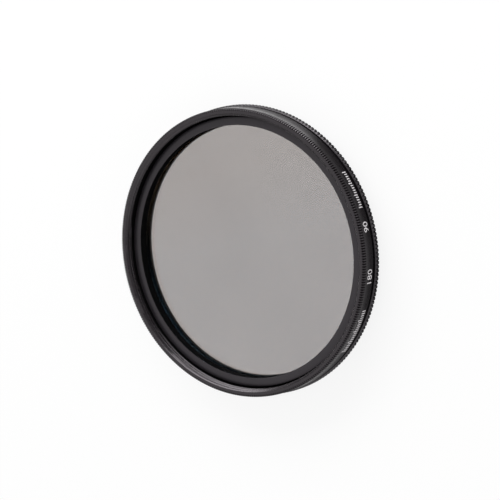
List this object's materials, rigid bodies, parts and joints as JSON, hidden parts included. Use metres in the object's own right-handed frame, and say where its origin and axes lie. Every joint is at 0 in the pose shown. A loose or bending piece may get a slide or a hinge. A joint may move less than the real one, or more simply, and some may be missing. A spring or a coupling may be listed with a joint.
{
  "type": "screw-in lens filter",
  "caption": "Screw-in circular polarising lens filter: knurled rear ring with a male thread, and a turning front ring that holds the glass and has a female thread.",
  "frame": {"origin": "on the optical axis, at the end of the rear male thread, on which the filter lies", "axes": "+Z along the optical axis from the lens towards the subject; X and Y across it"},
  "size_m": [0.0544, 0.0544, 0.0071],
  "materials": {
    "anodised": "matte black anodised",
    "spring_wire": "bright drawn wire",
    "glass": "coated optical glass",
    "polariser": "neutral grey dyed film",
    "retarder": "clear film"
  },
  "bodies": {
    "rear": {"rear_ring": "anodised", "snap_ring": "spring_wire"},
    "front": {"front_ring": "anodised", "retaining_ring": "anodised", "front_glass": "glass", "polarising_film": "polariser", "quarter_wave_film": "retarder", "rear_glass": "glass"}
  },
  "joints": [
    {"name": "polariser_turn", "type": "hinge", "parent": "rear", "child": "front", "pos_m": [0, 0, 0.0032], "axis": [0, 0, 1], "continuous": true}
  ]
}
